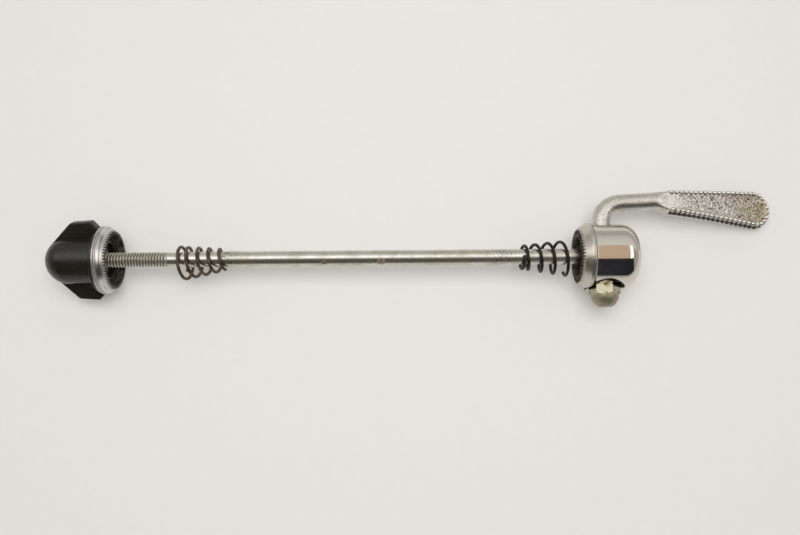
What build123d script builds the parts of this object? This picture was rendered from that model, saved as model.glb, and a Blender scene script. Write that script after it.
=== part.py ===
from build123d import *

import os
from math import atan2, cos, degrees, radians, sin, sqrt, tan

# A bicycle quick release skewer lying on its side, in millimetres. X runs along the rod from the
# adjusting nut to the cam head, Z is up. The origin is on the rod's axis, in the plane of the
# cam head's serrated clamping face. The lever points straight out, half way through its throw.

# Fits
running_gap = 0.05
loose_gap = 0.2

# Rod: plated steel, threaded at the nut end, with an eye at the head end
rod_d = 5.0
thread_d = 4.8
neck_d = 4.55
thread_length = 27.0
neck_length = 5.6
rod_point = 0.6
clamp_span = 147.4
rod_in_nut = 10.1
eye_d = 10.6
eye_thickness = 5.6

# Cam: eccentric of the lever, turning in the rod's eye
throw = 1.0
eccentric_d = 6.0
far_journal_d = 5.4
stud_d = 4.8
stud_length = 4.6
cam_x = 8.2

# Cam housing: turned and chromed cup with a serrated face
housing_bore_d = 12.5
housing_depth = 15.2
housing_length = 18.75
cup_d = 20.4
cup_corner = 5.2
flange_d = 21.5
flange_land = 1.2
flange_rise = 2.6
head_face_d = 17.5
spot_face_d = 12.4
spot_face_y = 8.0
seat_stand = 0.8

# Serrations of both clamping faces
head_teeth = 52
ring_teeth = 60
tooth_depth = 0.6
tooth_gap_width = 0.75
tooth_inset = 0.3

# Adjusting nut: moulded cap with wings, threaded insert and serrated ring
ring_d = 21.6
ring_length = 3.7
ring_land = 1.5
ring_mouth_d = 16.4
ring_face_d = 18.2
ring_back = 1.0
ring_groove = 0.15
spigot_d = 13.6
spigot_lip = 0.45
spigot_lip_length = 0.7
nut_flange_d = 20.6
nut_flange = 1.1
boss_d = 15.4
boss_length = 9.3
nose_wall = 2.2
nut_mouth_d = 11.0
insert_d = 8.4
insert_length = 10.0
insert_recess = 3.6
wing_count = 2
wing_turn = 27.0
wing_r = 12.5
wing_rise = 0.4
wing_thickness = 3.4
wing_flat = 6.4
wing_slope_run = 6.6
wing_root_r = 5.8
wing_corner_run = 2.3
wing_bevel = 0.4

# Springs: conical coils that hang on the rod, wide ends outward, each with its first turn drawn close
wire_d = 1.0
wire_sides = 6
nut_spring_play = 0.3
nut_spring_flare = 2.05
nut_spring_length = 14.8
nut_spring_close = 1.9
nut_spring_turns = 3.8
nut_spring_from_face = 20.2
nut_spring_lean = 22.0
nut_spring_roll = -200.0
head_spring_play = 0.6
head_spring_flare = 1.95
head_spring_length = 14.9
head_spring_close = 1.1
head_spring_turns = 3.37
head_spring_from_face = 2.8
head_spring_lean = 2.0
head_spring_roll = 0.0

# Lever: forged stem with a flat beaded paddle that curves down to the table
stem_d = 5.7
bend_r = 6.4
arm_y = 17.4
arm_rise = 3.0
flare_x = 24.5
flare_length = 5.8
paddle_tip_x = 66.8
paddle_sweep = 2.1
paddle_top_slopes = (9.0, 19.0)
paddle_under_slopes = (4.0, 17.5)
paddle_wall_slope = 8.0
paddle_root_d = 9.2
paddle_tip_d = 12.4
bead_d = 1.5
bead_pitch = 1.68
bead_rise = 0.35
bead_crown = 0.35
bead_crown_slope = 45
bead_sides = 6
bead_sink = 0.28
bead_length = 3.3

# Acorn nut on the lever's threaded end
acorn_flats = 8.6
acorn_hex = 3.7
acorn_length = 7.35
acorn_turn = 15.0
acorn_tip_d = 4.0
acorn_bevel = 0.5

# Places along the rod
nut_face_x = -clamp_span
rod_end_x = nut_face_x - rod_in_nut
thread_end_x = rod_end_x + thread_length
shaft_x = thread_end_x + neck_length
ring_back_x = nut_face_x - ring_length
nut_back_x = ring_back_x - running_gap
nose_x = nut_back_x - nut_flange - boss_length - boss_d / 2

# The head moves in step with the lever's angle while the eccentric moves as its sine, so the
# eye has room for the greatest difference between the two, which is 0.2105 of the throw.
sine_room = 0.2105 * throw
eye_slot_r = eccentric_d / 2 + sine_room + running_gap
cam_reach = eccentric_d / 2 + throw
near_journal_r = cam_reach + running_gap


def tooth_gap(inner_d, outer_d):
    """One V cut along local X that starts near the face's inner edge and deepens outwards, into -Z."""
    face_width = (outer_d - inner_d) / 2 - tooth_inset
    fall = degrees(atan2(tooth_depth, face_width))
    flank = tooth_gap_width / 2 / tooth_depth
    with BuildPart() as cutter:
        start = (outer_d / 2 - face_width, 0, 0)
        with BuildSketch(Plane(start, x_dir=(0, 1, 0), z_dir=(1, 0, 0)).rotated((0, fall, 0))):
            with BuildLine():
                Polyline(
                    (0, 0),
                    (flank * 2 * tooth_depth, 2 * tooth_depth),
                    (-flank * 2 * tooth_depth, 2 * tooth_depth),
                    close=True,
                )
            make_face()
        extrude(amount=2 * face_width)
    return cutter.part


def spring_end(x, play, lean):
    """Coil radius and centre where a spring hangs on the rod with this much play round it."""
    hang = play - running_gap
    tilt = radians(lean)
    return rod_d / 2 + play + wire_d / 2, Vector(x, -hang * sin(tilt), -hang * cos(tilt))


def conical_spring(start, end, close, turns, roll):
    """A coil of wire from one spring end to the other, with one close turn and then open ones."""
    start_r, start_centre = start
    end_r, end_centre = end
    axis = end_centre - start_centre
    slope = (end_r - start_r) / axis.length
    cone = atan2(end_r - start_r, axis.length)
    with BuildPart() as spring:
        with BuildLine() as coil:
            for offset, length, count in ((0, close, 1), (close, axis.length - close, turns)):
                centre = start_centre + axis.normalized() * offset
                pitch = length / count / cos(cone)
                Helix(pitch, length, start_r + slope * offset, centre, axis, degrees(cone))
        path = coil.wire()
        with BuildSketch(Plane(path @ 0, z_dir=path % 0)):
            RegularPolygon(wire_d / 2, wire_sides)
        sweep(path=path, is_frenet=True, transition=Transition.TRANSFORMED)
    return spring.part.rotate(Axis(start_centre, axis), roll)


# Rod
with BuildPart() as skewer_rod:
    with BuildSketch(Plane.XZ):
        with BuildLine():
            Polyline(
                (rod_end_x, 0),
                (rod_end_x, thread_d / 2 - rod_point),
                (rod_end_x + rod_point, thread_d / 2),
                (thread_end_x, thread_d / 2),
                (thread_end_x, neck_d / 2),
                (shaft_x, neck_d / 2),
                (shaft_x + (rod_d - neck_d) / 2, rod_d / 2),
                (cam_x, rod_d / 2),
                (cam_x, 0),
                close=True,
            )
        make_face()
    revolve(axis=Axis.X)
    with BuildSketch(Plane.XZ):
        with Locations((cam_x, 0)):
            Circle(eye_d / 2)
    extrude(amount=eye_thickness / 2, both=True)
    with BuildSketch(Plane.XZ):
        with Locations((cam_x, throw / 2)):
            SlotCenterToCenter(throw, 2 * eye_slot_r, rotation=90)
    extrude(amount=eye_thickness, both=True, mode=Mode.SUBTRACT)

# Cam housing
flange_end_x = flange_rise + flange_land
with BuildPart() as cam_housing:
    with BuildSketch(Plane.XZ):
        with BuildLine():
            Polyline(
                (housing_depth, 0),
                (housing_depth, housing_bore_d / 2),
                (0, housing_bore_d / 2),
                (0, head_face_d / 2),
                (flange_rise, flange_d / 2),
                (flange_end_x, flange_d / 2),
                (flange_end_x, cup_d / 2),
                (housing_length - cup_corner, cup_d / 2),
            )
            RadiusArc(
                (housing_length - cup_corner, cup_d / 2),
                (housing_length, cup_d / 2 - cup_corner),
                cup_corner,
            )
            Polyline(
                (housing_length, cup_d / 2 - cup_corner),
                (housing_length, 0),
                (housing_depth, 0),
            )
        make_face()
    revolve(axis=Axis.X)
    with BuildSketch(Plane.XZ):
        with Locations((cam_x, 0)):
            Circle(near_journal_r + running_gap)
    extrude(amount=-cup_d, mode=Mode.SUBTRACT)
    with BuildSketch(Plane.XZ):
        with Locations((cam_x, 0)):
            Circle(far_journal_d / 2 + running_gap)
    extrude(amount=cup_d, mode=Mode.SUBTRACT)
    with BuildSketch(Plane.XZ.offset(spot_face_y)):
        with Locations((cam_x, 0)):
            Circle(spot_face_d / 2)
    extrude(amount=cup_d, mode=Mode.SUBTRACT)
    head_gap = tooth_gap(housing_bore_d, head_face_d)
    with Locations(Plane((0, 0, 0), x_dir=(0, 0, 1), z_dir=(-1, 0, 0))):
        with PolarLocations(0, head_teeth, start_angle=180 / head_teeth):
            add(head_gap, mode=Mode.SUBTRACT)

# Serrated ring of the adjusting nut
ring_cone_x = ring_back_x + ring_land
groove_step = ring_land / 5
with BuildPart() as nut_ring:
    with BuildSketch(Plane.XZ):
        with BuildLine():
            Polyline(
                (ring_back_x, spigot_d / 2 + running_gap),
                (ring_back_x + ring_back, spigot_d / 2 + running_gap),
                (ring_back_x + ring_back, ring_mouth_d / 2),
                (nut_face_x, ring_mouth_d / 2),
                (nut_face_x, ring_face_d / 2),
                (ring_cone_x, ring_d / 2),
                (ring_back_x + 4 * groove_step, ring_d / 2 - ring_groove),
                (ring_back_x + 3 * groove_step, ring_d / 2),
                (ring_back_x + 2 * groove_step, ring_d / 2 - ring_groove),
                (ring_back_x + groove_step, ring_d / 2),
                (ring_back_x, ring_d / 2),
                close=True,
            )
        make_face()
    revolve(axis=Axis.X)
    ring_gap = tooth_gap(ring_mouth_d, ring_face_d)
    with Locations(Plane((nut_face_x, 0, 0), x_dir=(0, 0, 1), z_dir=(1, 0, 0))):
        with PolarLocations(0, ring_teeth, start_angle=180 / ring_teeth):
            add(ring_gap, mode=Mode.SUBTRACT)

# Moulded body of the adjusting nut
insert_front_x = nut_face_x - insert_recess
insert_back_x = insert_front_x - insert_length
lip_x = ring_back_x + ring_back + running_gap
nose_start_x = nose_x + boss_d / 2
boss_x = nut_back_x - nut_flange
wing_flat_x = nut_back_x - wing_corner_run
with BuildPart() as wing:
    with BuildSketch(Plane.XZ):
        with BuildLine():
            Polyline(
                (wing_flat_x - wing_flat - wing_slope_run, wing_root_r),
                (wing_flat_x - wing_flat, wing_r),
                (wing_flat_x, wing_r + wing_rise),
                (nut_back_x, nut_flange_d / 2),
                (nut_back_x, wing_root_r),
                close=True,
            )
        make_face()
    extrude(amount=wing_thickness / 2, both=True)
    rim = wing.edges().filter_by(Axis.Y, reverse=True)
    chamfer([edge for edge in rim if edge.center().Z > wing_root_r + wing_bevel], wing_bevel)
with BuildPart() as nut_body:
    with BuildSketch(Plane.XZ):
        with BuildLine():
            Polyline(
                (nose_x, 0),
                (nose_x + nose_wall, 0),
                (nose_x + nose_wall, thread_d / 2 + loose_gap),
                (insert_back_x, thread_d / 2 + loose_gap),
                (insert_back_x, insert_d / 2),
                (insert_front_x, insert_d / 2),
                (insert_front_x, nut_mouth_d / 2),
                (lip_x + spigot_lip_length, nut_mouth_d / 2),
                (lip_x + spigot_lip_length, spigot_d / 2),
                (lip_x + spigot_lip, spigot_d / 2 + spigot_lip),
                (lip_x, spigot_d / 2 + spigot_lip),
                (lip_x, spigot_d / 2),
                (nut_back_x, spigot_d / 2),
                (nut_back_x, nut_flange_d / 2),
                (boss_x, nut_flange_d / 2),
                (boss_x, boss_d / 2),
                (nose_start_x, boss_d / 2),
            )
            CenterArc((nose_start_x, 0), boss_d / 2, 90, 90)
        make_face()
    revolve(axis=Axis.X)
    for number in range(wing_count):
        with Locations(Rotation(wing_turn - 90 + number * 360 / wing_count, 0, 0)):
            add(wing.part)

# Threaded insert of the adjusting nut
with BuildPart() as nut_insert:
    with BuildSketch(Plane.XZ):
        with BuildLine():
            Polyline(
                (insert_back_x, thread_d / 2 + running_gap),
                (insert_back_x, insert_d / 2),
                (insert_front_x, insert_d / 2),
                (insert_front_x, thread_d / 2 + running_gap),
                close=True,
            )
        make_face()
    revolve(axis=Axis.X)

# Springs
nut_spring_x = nut_face_x + nut_spring_from_face
nut_spring_end_x = nut_spring_x + nut_spring_length
nut_spring = conical_spring(
    spring_end(nut_spring_x, nut_spring_play + nut_spring_flare, nut_spring_lean),
    spring_end(nut_spring_end_x, nut_spring_play, nut_spring_lean),
    nut_spring_close,
    nut_spring_turns,
    nut_spring_roll,
)
head_spring_x = -head_spring_from_face
head_spring = conical_spring(
    spring_end(head_spring_x - head_spring_length, head_spring_play, head_spring_lean),
    spring_end(head_spring_x, head_spring_play + head_spring_flare, head_spring_lean),
    head_spring_close,
    head_spring_turns,
    head_spring_roll,
)

# Lever
seat_y = spot_face_y + seat_stand
eccentric_near_y = eye_thickness / 2 + loose_gap
eccentric_far_y = sqrt((housing_bore_d / 2) ** 2 - cam_reach**2) - loose_gap
journal_y = sqrt((cup_d / 2) ** 2 - near_journal_r**2) - running_gap
arm_corner_y = arm_y - bend_r * tan(radians(arm_rise))
flare_y = arm_corner_y + (flare_x - cam_x) * tan(radians(arm_rise))
paddle_run = paddle_tip_x - flare_x
wall_spread = tan(radians(paddle_wall_slope))


def sag(run, slopes):
    """Drop of a round curve over part of the paddle's run, from its slopes at root and tip."""
    first, last = radians(slopes[0]), radians(slopes[1])
    curve_r = paddle_run / (sin(last) - sin(first))
    return curve_r * (cos(first) - sqrt(1 - (sin(first) + run / curve_r) ** 2))


def top_z(run):
    return stem_d / 2 - sag(run, paddle_top_slopes)


def under_z(run):
    return -stem_d / 2 - sag(run, paddle_under_slopes)


def middle_y(run):
    return flare_y - run * tan(radians(paddle_sweep))


# The paddle's outline is drawn at the level of its lowest point. Its walls lean in from there.
outline_z = under_z(paddle_run)
tip_run = paddle_run - paddle_tip_d / 2


def half_width(run, z):
    """Half the paddle's width at a height, between its root and the round of its tip."""
    outline = paddle_root_d + (paddle_tip_d - paddle_root_d) * run / tip_run
    return outline / 2 - (z - outline_z) * wall_spread


def bead_seat(foot, outward):
    """Where a bead's crown starts, on the wall that rises from this foot of the outline."""
    wall = (Vector(0, 0, 1) - outward * wall_spread).normalized()
    edge = foot
    for _ in range(4):
        edge = foot + wall * ((top_z(edge.X - flare_x) - foot.Z) / wall.Z)
    return Plane(edge - outward * bead_sink + wall * bead_rise, x_dir=outward, z_dir=wall)


with BuildPart() as paddle:
    with BuildSketch(Plane.XZ.offset(-flare_y)):
        with BuildLine():
            runs = [flare_length, (flare_length + paddle_run) / 2, paddle_run]
            over = ThreePointArc(*[(flare_x + run, top_z(run)) for run in runs])
            under = ThreePointArc(*[(flare_x + run, under_z(run)) for run in runs])
            Line(over @ 0, under @ 0)
            Line(over @ 1, under @ 1)
        make_face()
    extrude(amount=paddle_tip_d, both=True)
    with BuildSketch(Plane.XY.offset(outline_z)):
        with BuildLine():
            back_run = -paddle_tip_d / 2
            back_half = half_width(back_run, outline_z)
            tip_y = middle_y(tip_run)
            far = (flare_x + tip_run, tip_y + paddle_tip_d / 2)
            near = (flare_x + tip_run, tip_y - paddle_tip_d / 2)
            Polyline(
                far,
                (flare_x + back_run, middle_y(back_run) + back_half),
                (flare_x + back_run, middle_y(back_run) - back_half),
                near,
            )
            ThreePointArc(near, (paddle_tip_x, tip_y), far)
        make_face()
    extrude(amount=stem_d / 2 - outline_z, taper=paddle_wall_slope, mode=Mode.INTERSECT)

flare_end_x = flare_x + flare_length
flare_top = top_z(flare_length)
flare_under = under_z(flare_length)
top_half = half_width(flare_length, flare_top)
under_half = half_width(flare_length, flare_under)
with BuildPart() as flare:
    arm_turn = radians(arm_rise)
    arm_side = (-sin(arm_turn), cos(arm_turn), 0)
    arm_way = (cos(arm_turn), sin(arm_turn), 0)
    with BuildSketch(Plane((flare_x, flare_y, 0), x_dir=arm_side, z_dir=arm_way)):
        with BuildLine():
            for quarter in range(4):
                CenterArc((0, 0), stem_d / 2, 225 + 90 * quarter, 90)
        make_face()
    with BuildSketch(Plane((flare_end_x, middle_y(flare_length), 0), x_dir=(0, 1, 0), z_dir=(1, 0, 0))):
        Polygon(
            (-under_half, flare_under),
            (under_half, flare_under),
            (top_half, flare_top),
            (-top_half, flare_top),
            align=None,
        )
    loft()

bead_seats = []
side_beads = round((tip_run - flare_length) / bead_pitch)
for side in (-1, 1):
    for number in range(side_beads):
        run = flare_length + (tip_run - flare_length) * (number + 0.5) / side_beads
        foot_y = middle_y(run) + side * half_width(run, outline_z)
        bead_seats.append(bead_seat(Vector(flare_x + run, foot_y, outline_z), Vector(0, side, 0)))
tip_beads = round(radians(180) * half_width(tip_run, top_z(tip_run)) / bead_pitch)
for number in range(tip_beads):
    turn = radians(-90 + 180 * (number + 0.5) / tip_beads)
    reach = Vector(cos(turn), sin(turn), 0)
    tip_centre = Vector(flare_x + tip_run, middle_y(tip_run), outline_z)
    bead_seats.append(bead_seat(tip_centre + reach * (paddle_tip_d / 2), reach))

with BuildPart() as lever:
    with BuildSketch(Plane.XZ.offset(seat_y)):
        with Locations((cam_x, 0)):
            Circle(stud_d / 2)
    extrude(amount=stud_length)
    with BuildSketch(Plane.XZ.offset(eccentric_far_y)):
        with Locations((cam_x, 0)):
            Circle(far_journal_d / 2)
    extrude(amount=seat_y - eccentric_far_y)
    with BuildSketch(Plane.XZ.offset(eccentric_far_y)):
        with Locations((cam_x, throw)):
            Circle(eccentric_d / 2)
    extrude(amount=-eccentric_far_y - eccentric_near_y)
    with BuildSketch(Plane.XZ.offset(-eccentric_near_y)):
        with Locations((cam_x, 0)):
            Circle(near_journal_r)
    extrude(amount=eccentric_near_y - journal_y)
    with BuildLine() as stem_path:
        FilletPolyline(
            (cam_x, eccentric_near_y),
            (cam_x, arm_corner_y),
            (flare_x, flare_y),
            radius=bend_r,
        )
    with BuildSketch(Plane((cam_x, eccentric_near_y, 0), z_dir=(0, 1, 0))):
        Circle(stem_d / 2)
    sweep(path=stem_path.line)
    add(flare.part)
    add(paddle.part)
    with BuildSketch(*bead_seats):
        RegularPolygon(bead_d / 2, bead_sides)
    extrude(amount=-bead_length)
    with BuildSketch(*bead_seats):
        RegularPolygon(bead_d / 2, bead_sides)
    extrude(amount=bead_crown, taper=bead_crown_slope)

# Acorn nut
acorn_axis = Axis((cam_x, 0, 0), (0, 1, 0))
corner_r = acorn_flats / sqrt(3)
with BuildPart() as acorn_nut:
    with BuildSketch(Plane.XZ.offset(seat_y)):
        with Locations((cam_x, 0)):
            RegularPolygon(acorn_flats / 2, 6, major_radius=False, rotation=acorn_turn)
    extrude(amount=acorn_length)
    with BuildSketch(Plane((cam_x, -seat_y, 0), x_dir=(1, 0, 0), z_dir=(0, 0, -1))):
        with BuildLine():
            Polyline(
                (acorn_tip_d / 2, acorn_length),
                (0, acorn_length),
                (0, 0),
                (corner_r, 0),
                (corner_r, acorn_hex - acorn_bevel),
                (acorn_flats / 2, acorn_hex),
            )
            TangentArc((acorn_flats / 2, acorn_hex), (acorn_tip_d / 2, acorn_length), tangent=(0, 1))
        make_face()
    revolve(axis=acorn_axis, mode=Mode.INTERSECT)
    with BuildSketch(Plane.XZ.offset(seat_y)):
        with Locations((cam_x, 0)):
            Circle(stud_d / 2 + running_gap)
    extrude(amount=stud_length + loose_gap, mode=Mode.SUBTRACT)

os.makedirs("parts", exist_ok=True)
pieces = {
    "skewer_rod": skewer_rod.part,
    "cam_housing": cam_housing.part,
    "nut_ring": nut_ring.part,
    "nut_body": nut_body.part,
    "nut_insert": nut_insert.part,
    "left_spring": nut_spring,
    "right_spring": head_spring,
    "lever": lever.part,
    "acorn_nut": acorn_nut.part,
}
for name, piece in pieces.items():
    piece.label = name
    export_step(piece, f"parts/{name}.step")
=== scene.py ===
# %% [markdown]
# # A quick release skewer on a pale sheet
# The skewer comes from a bicycle wheel: a long plated rod, a cam head with a beaded lever at one
# end, a winged nut at the other and two conical springs between. The solids come packed, each in
# its place, so this lesson only dresses them: it makes a finer mesh where a thread, a tooth or a
# round edge has to catch the light, and it gives every piece the finish of the real one.

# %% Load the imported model
from math import asin, cos, hypot, pi, radians, sin, sqrt, tan

import bmesh
import bpy
from mathutils import Matrix, Vector, noise


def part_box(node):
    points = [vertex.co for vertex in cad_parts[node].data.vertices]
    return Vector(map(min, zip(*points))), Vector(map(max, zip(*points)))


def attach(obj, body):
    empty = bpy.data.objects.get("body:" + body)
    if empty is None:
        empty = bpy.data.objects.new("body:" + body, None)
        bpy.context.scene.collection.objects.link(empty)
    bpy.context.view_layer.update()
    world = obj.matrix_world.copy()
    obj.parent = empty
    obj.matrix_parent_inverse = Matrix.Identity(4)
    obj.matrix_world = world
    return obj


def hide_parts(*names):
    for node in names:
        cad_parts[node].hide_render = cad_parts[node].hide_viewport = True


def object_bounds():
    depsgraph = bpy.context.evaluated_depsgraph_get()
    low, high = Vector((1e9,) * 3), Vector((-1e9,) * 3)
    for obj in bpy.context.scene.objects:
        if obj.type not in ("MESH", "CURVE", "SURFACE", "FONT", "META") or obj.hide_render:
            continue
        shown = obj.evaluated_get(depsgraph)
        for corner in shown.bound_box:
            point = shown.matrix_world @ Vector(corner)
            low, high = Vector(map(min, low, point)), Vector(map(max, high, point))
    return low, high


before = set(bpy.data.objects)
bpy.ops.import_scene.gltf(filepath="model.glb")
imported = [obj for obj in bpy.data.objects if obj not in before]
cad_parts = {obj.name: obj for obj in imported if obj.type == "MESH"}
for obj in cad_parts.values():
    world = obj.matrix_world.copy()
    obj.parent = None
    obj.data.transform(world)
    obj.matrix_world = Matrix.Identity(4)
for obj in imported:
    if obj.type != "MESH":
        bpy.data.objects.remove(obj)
cad_low, cad_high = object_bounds()
MM = 0.001
print("nodes:", ", ".join(sorted(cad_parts)))

# %% [markdown]
# ## Drawing helpers
# Turned parts start as an outline of corners. A real edge is never perfectly sharp, and the thin
# bright line along a rounded edge is what tells the eye that a thing is metal. So every corner has
# a radius, and one function turns corners into arcs. A second one makes rings of points round the
# rod's axis, and a third puts faces between rings. All of them work in millimetres.


# %% Outlines, rings and skins
def rounded(corners, steps=4, closed=False):
    """An outline whose corners (u, v, radius) are arcs of that radius."""
    points = []
    for index, (u, v, radius) in enumerate(corners):
        here = Vector((u, v))
        at_end = not closed and index in (0, len(corners) - 1)
        if at_end or radius == 0:
            points.append(here)
            continue
        back = (Vector(corners[index - 1][:2]) - here).normalized()
        ahead = (Vector(corners[(index + 1) % len(corners)][:2]) - here).normalized()
        half = back.angle(ahead) / 2
        centre = here + (back + ahead).normalized() * radius / sin(half)
        first = here + back * radius / tan(half) - centre
        last = here + ahead * radius / tan(half) - centre
        turn = first.angle(last)
        for step in range(steps + 1):
            share = turn * step / steps
            points.append(centre + (first * sin(turn - share) + last * sin(share)) / sin(turn))
    return points


def divided(points, longest, first, last):
    """The outline again, with no step over the longest between the two given values of u."""
    fine = [points[0]]
    for here, ahead in zip(points, points[1:]):
        inside = first <= min(here.x, ahead.x) and max(here.x, ahead.x) <= last
        count = max(1, round((ahead - here).length / longest)) if inside else 1
        fine += [here.lerp(ahead, (step + 1) / count) for step in range(count)]
    return fine


def circle(count):
    """Angles of points spaced evenly round a circle."""
    return [2 * pi * number / count for number in range(count)]


def turned(outline, segments, shift=None):
    """Rings round the X axis for an outline of (x, r). A point on the axis is a ring of one."""
    rings = []
    for x, r in outline:
        if r < 1e-6:
            rings.append([Vector((x, 0, 0))])
            continue
        ring = []
        for angle in circle(segments):
            at_x, at_r = shift(x, r, angle) if shift else (x, r)
            ring.append(Vector((at_x, at_r * sin(angle), at_r * cos(angle))))
        rings.append(ring)
    return rings


def skin(rings, loop=False, capped=False):
    """A mesh with faces between neighbouring rings, the last joined to the first in a loop."""
    shape = bmesh.new()
    made = [[shape.verts.new(point) for point in ring] for ring in rings]
    pairs = list(zip(made, made[1:]))
    if loop:
        pairs.append((made[-1], made[0]))
    for here, ahead in pairs:
        count = max(len(here), len(ahead))
        for number in range(count):
            after = (number + 1) % count
            corners = (
                here[number % len(here)],
                here[after % len(here)],
                ahead[after % len(ahead)],
                ahead[number % len(ahead)],
            )
            shape.faces.new(list(dict.fromkeys(corners)))
    if capped:
        shape.faces.new(made[0])
        shape.faces.new(made[-1])
    bmesh.ops.recalc_face_normals(shape, faces=shape.faces)
    return to_mesh(shape)


def to_mesh(shape):
    """A mesh in millimetres from a finished shape."""
    mesh = bpy.data.meshes.new("shape")
    shape.to_mesh(mesh)
    shape.free()
    return mesh


def crosswise(outline, segments, x, z=0):
    """A mesh turned about an axis along Y, at a place, for an outline of (y, r)."""
    mesh = skin(turned(outline, segments))
    mesh.transform(Matrix.Translation((x, 0, z)) @ Matrix.Rotation(pi / 2, 4, "Z"))
    return mesh


def eased(share):
    """A share held between 0 and 1, with a soft start and end."""
    share = max(0, min(1, share))
    return share * share * (3 - 2 * share)


print("helpers: rounded, divided, turned, skin, crosswise")

# %% [markdown]
# ## Joining and placing meshes
# A drilled hole or a wing on a cap is easiest to say as one shape cut from, or added to, another.
# Blender's boolean does that. What comes out is scaled to metres, smoothed, given its material and
# tied to the body that carries it.


# %% Booleans and pieces
def combine(base, tool, operation):
    """One mesh from two, as a union, a difference or an intersection."""
    objects = [bpy.data.objects.new("trial", mesh) for mesh in (base, tool)]
    for thing in objects:
        bpy.context.scene.collection.objects.link(thing)
    boolean = objects[0].modifiers.new("combine", "BOOLEAN")
    boolean.object = objects[1]
    boolean.operation = operation
    boolean.solver = "EXACT"
    ready = objects[0].evaluated_get(bpy.context.evaluated_depsgraph_get())
    result = bpy.data.meshes.new_from_object(ready)
    for thing in objects:
        bpy.data.objects.remove(thing)
    return result


def joined(meshes):
    """Several meshes side by side in one."""
    shape = bmesh.new()
    for mesh in meshes:
        shape.from_mesh(mesh)
    return to_mesh(shape)


SHARP_EDGE = radians(38)


def place(name, mesh, material, body, node):
    """A finished piece, in metres, that stands for a node and rides on its body."""
    mesh.name = name
    mesh.transform(Matrix.Scale(MM, 4))
    mesh.shade_smooth()
    mesh.set_sharp_from_angle(angle=SHARP_EDGE)
    mesh.materials.clear()
    mesh.materials.append(material)
    piece = bpy.data.objects.new(name, mesh)
    bpy.context.scene.collection.objects.link(piece)
    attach(piece, body)
    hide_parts(node)
    print(f"{name}: {len(mesh.polygons)} faces for {node}")


# %% [markdown]
# ## Shading helpers
# Colours are written as sRGB hex, as a colour picker shows them, and one function makes them
# linear. One small function adds a shader node with its settings and links. A socket takes a
# number, a colour or another node, and a node stands for its first live output. Patterns are drawn
# in millimetres, from each piece's own coordinates, so that they move with it. Real polishing marks,
# drawing lines and grain are too fine for the picture, so they are drawn coarser, at about a quarter
# of a millimetre.


# %% Colour and nodes
def linear(code):
    """Linear RGBA from an sRGB hex code."""
    parts = [int(code[start:start + 2], 16) / 255 for start in (1, 3, 5)]
    low = [part / 12.92 for part in parts]
    high = [((part + 0.055) / 1.055) ** 2.4 for part in parts]
    return [a if part <= 0.04045 else b for part, a, b in zip(parts, low, high)] + [1]


def fill(tree, node, inputs):
    """Fills a node's sockets with numbers, hex colours, links or the live output of other nodes."""
    for key, value in inputs.items():
        if isinstance(value, bpy.types.Node):
            value = next(socket for socket in value.outputs if socket.enabled)
        if isinstance(value, bpy.types.NodeSocket):
            tree.links.new(value, node.inputs[key])
        else:
            node.inputs[key].default_value = linear(value) if isinstance(value, str) else value


def add(tree, kind, inputs, **settings):
    """A shader node, its settings set and its sockets filled."""
    made = tree.nodes.new("ShaderNode" + kind)
    for name, value in settings.items():
        setattr(made, name, value)
    fill(tree, made, inputs)
    return made


def start_material(name):
    """A new material, its tree, and the piece's own coordinates in millimetres."""
    material = bpy.data.materials.new(name)
    material.use_nodes = True
    tree = material.node_tree
    own = add(tree, "TexCoord", {}).outputs["Object"]
    return material, tree, add(tree, "VectorMath", {0: own, "Scale": 1 / MM}, operation="SCALE")


def finish_material(material, inputs):
    """The material again, with its shader's sockets filled."""
    fill(material.node_tree, material.node_tree.nodes["Principled BSDF"], inputs)
    print("made", material.name)
    return material


def axial(tree, mm):
    """The places along X and Y and the distance from the X axis."""
    axes = add(tree, "SeparateXYZ", {0: mm})
    across = add(tree, "VectorMath", {0: mm, 1: (0, 1, 1)}, operation="MULTIPLY")
    return axes.outputs[0], axes.outputs[1], add(tree, "VectorMath", {0: across}, operation="LENGTH")


def blots(tree, mm, places, core):
    """Shares of one at places (x, y, z, reach) that fade out from a core to their reach."""
    share = 0
    for *centre, reach in places:
        gap = add(tree, "VectorMath", {0: mm, 1: centre}, operation="DISTANCE")
        blot = add(tree, "MapRange", {0: gap, 1: reach, 2: reach * core})
        share = add(tree, "Math", {0: share, 1: blot}, operation="MAXIMUM")
    return share


print("shading helpers ready")
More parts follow.
